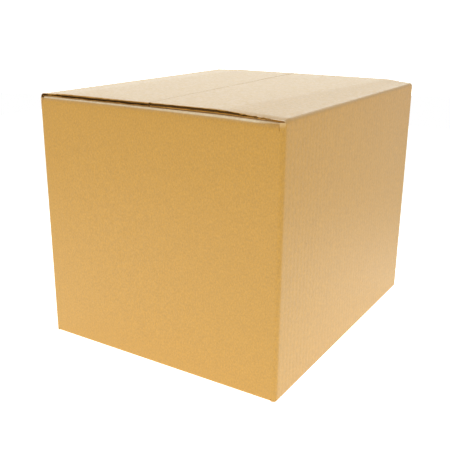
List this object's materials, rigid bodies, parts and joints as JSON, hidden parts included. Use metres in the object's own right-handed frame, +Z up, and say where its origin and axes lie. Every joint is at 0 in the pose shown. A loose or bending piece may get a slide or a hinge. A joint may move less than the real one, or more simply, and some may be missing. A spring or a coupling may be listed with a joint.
{
  "type": "cardboard carton",
  "caption": "Closed slotted carton of plain kraft corrugated board, untaped, whose two long top flaps meet in the middle and fold open.",
  "frame": {"origin": "on the floor under the middle of the carton", "axes": "+X across the front panel to the right panel, +Y from the front panel to the back panel, +Z up"},
  "size_m": [0.3, 0.36, 0.2848],
  "materials": {
    "kraft_board": "matt uncoated kraft liner, warm golden brown"
  },
  "bodies": {
    "carton": {"carton_body": "kraft_board"},
    "left_flap": {"left_top_flap": "kraft_board"},
    "right_flap": {"right_top_flap": "kraft_board"}
  },
  "joints": [
    {"name": "left_flap_hinge", "type": "hinge", "parent": "carton", "child": "left_flap", "pos_m": [-0.15, 0, 0.2843], "axis": [0, -1, 0], "range_deg": [0, 250]},
    {"name": "right_flap_hinge", "type": "hinge", "parent": "carton", "child": "right_flap", "pos_m": [0.15, 0, 0.2814], "axis": [0, 1, 0], "range_deg": [0, 250]}
  ]
}
